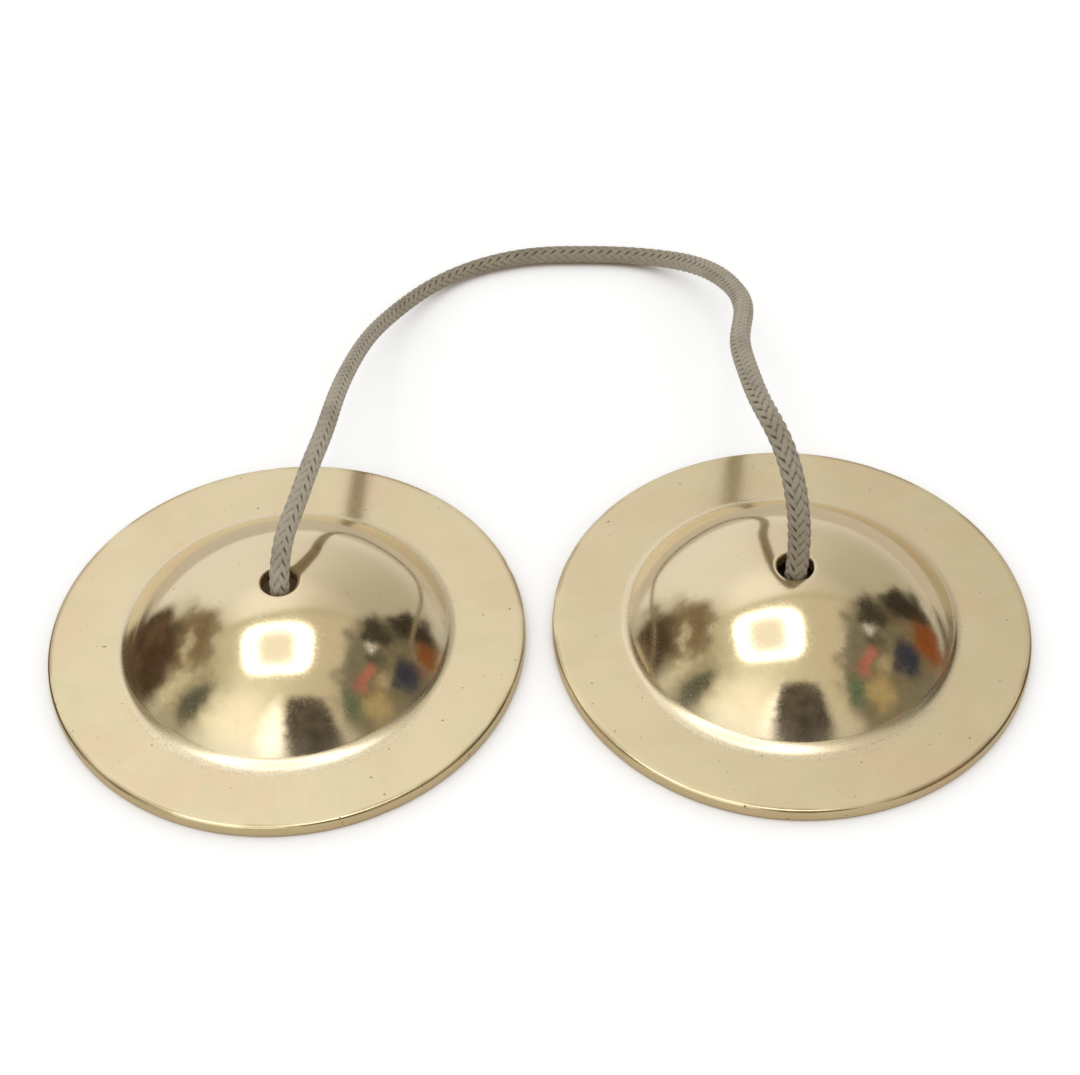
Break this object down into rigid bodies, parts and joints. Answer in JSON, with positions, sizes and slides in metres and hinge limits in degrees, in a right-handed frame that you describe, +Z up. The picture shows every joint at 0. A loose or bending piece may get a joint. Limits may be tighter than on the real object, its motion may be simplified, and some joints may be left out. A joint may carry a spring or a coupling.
{
  "type": "manjira",
  "caption": "Small domed brass hand cymbals joined by a braided cotton cord, which runs through the hole in each crown and is knotted inside each bowl.",
  "frame": {"origin": "midway between the two cymbals on the table that they rest on", "axes": "+X from the left cymbal's hole to the right cymbal's hole, +Y to the side where the cord's loop lies, +Z up"},
  "size_m": [0.1644, 0.1399, 0.0365],
  "materials": {
    "brass": "cast and turned brass, domes polished bright, rims satin with fine tool marks",
    "cord": "braided cotton cord, greyish taupe"
  },
  "bodies": {
    "right_cymbal": {"right_cymbal": "brass"},
    "right_knot": {"right_knot": "cord"},
    "right_cord": {"right_cord": "cord"},
    "left_cord": {"left_cord": "cord"},
    "left_knot": {"left_knot": "cord"},
    "left_cymbal": {"left_cymbal": "brass"}
  },
  "joints": [
    {"name": "right_turn", "type": "hinge", "parent": "right_cymbal", "child": "right_knot", "pos_m": [0.04225, 0, 0.0177], "axis": [0, 0, 1], "continuous": true},
    {"name": "right_lean", "type": "hinge", "parent": "right_knot", "child": "right_cord", "pos_m": [0.04225, 0, 0.0177], "axis": [1, 0, 0], "range_deg": [0, 75]},
    {"name": "cord_bend", "type": "hinge", "parent": "right_cord", "child": "left_cord", "pos_m": [0.0027, 0.0981, 0.0019], "axis": [0, 0, -1], "range_deg": [-2, 60]},
    {"name": "left_lean", "type": "hinge", "parent": "left_cord", "child": "left_knot", "pos_m": [-0.04225, 0, 0.0177], "axis": [1, 0, 0], "range_deg": [-75, 0]},
    {"name": "left_turn", "type": "hinge", "parent": "left_knot", "child": "left_cymbal", "pos_m": [-0.04225, 0, 0.0177], "axis": [0, 0, 1], "continuous": true}
  ],
  "couplings": [
    {"joint": "left_lean", "follows": "right_lean", "ratio": -1}
  ]
}
